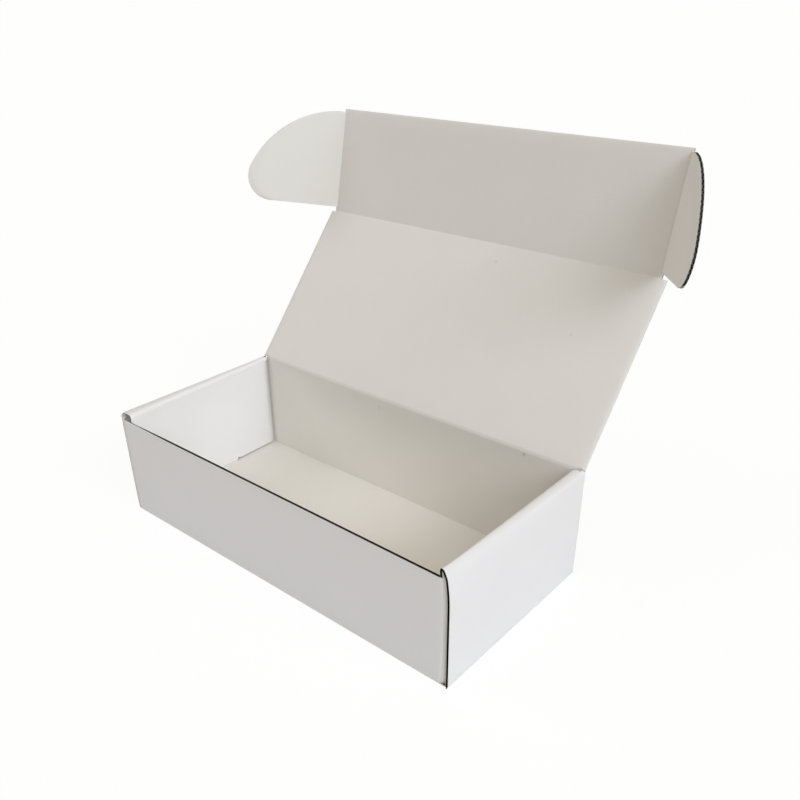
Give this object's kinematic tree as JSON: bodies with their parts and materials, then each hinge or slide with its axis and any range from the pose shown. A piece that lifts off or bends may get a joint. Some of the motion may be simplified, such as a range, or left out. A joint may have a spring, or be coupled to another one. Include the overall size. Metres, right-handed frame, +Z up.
{
  "type": "apparel gift box",
  "caption": "White corrugated gift box for clothing, folded from flat board, with a hinged lid, a tuck-in front flap with rounded ears, and rolled side walls.",
  "frame": {"origin": "centre of the underside of the tray's floor, which the box stands on", "axes": "+X to the right along the box's width, +Y to the back where the lid is hinged, +Z up"},
  "size_m": [0.4056, 0.2629, 0.2775],
  "materials": {
    "board": "matte"
  },
  "bodies": {
    "tray": {"tray": "board"},
    "lid": {"lid_panel": "board"},
    "flap": {"tuck_flap": "board"},
    "left_ear": {"left_ear": "board"},
    "right_ear": {"right_ear": "board"}
  },
  "joints": [
    {"name": "lid_hinge", "type": "hinge", "parent": "tray", "child": "lid", "pos_m": [0, 0.07375, 0.0865], "axis": [-1, 0, 0], "range_deg": [-132.3, 47.7]},
    {"name": "tuck_flap_fold", "type": "hinge", "parent": "lid", "child": "flap", "pos_m": [0, 0.17181, 0.19426], "axis": [1, 0, 0], "range_deg": [-31.5, 58.5]},
    {"name": "left_ear_fold", "type": "hinge", "parent": "flap", "child": "left_ear", "pos_m": [-0.15435, 0.17181, 0.19426], "axis": [0, 0.1874, 0.9823], "range_deg": [-24.24, 45]},
    {"name": "right_ear_fold", "type": "hinge", "parent": "flap", "child": "right_ear", "pos_m": [0.15435, 0.17181, 0.19426], "axis": [0, -0.1874, -0.9823], "range_deg": [-17.5, 32.5]}
  ],
  "couplings": [
    {"joint": "left_ear_fold", "follows": "tuck_flap_fold", "ratio": 0.7692},
    {"joint": "right_ear_fold", "follows": "tuck_flap_fold", "ratio": 0.5555}
  ]
}
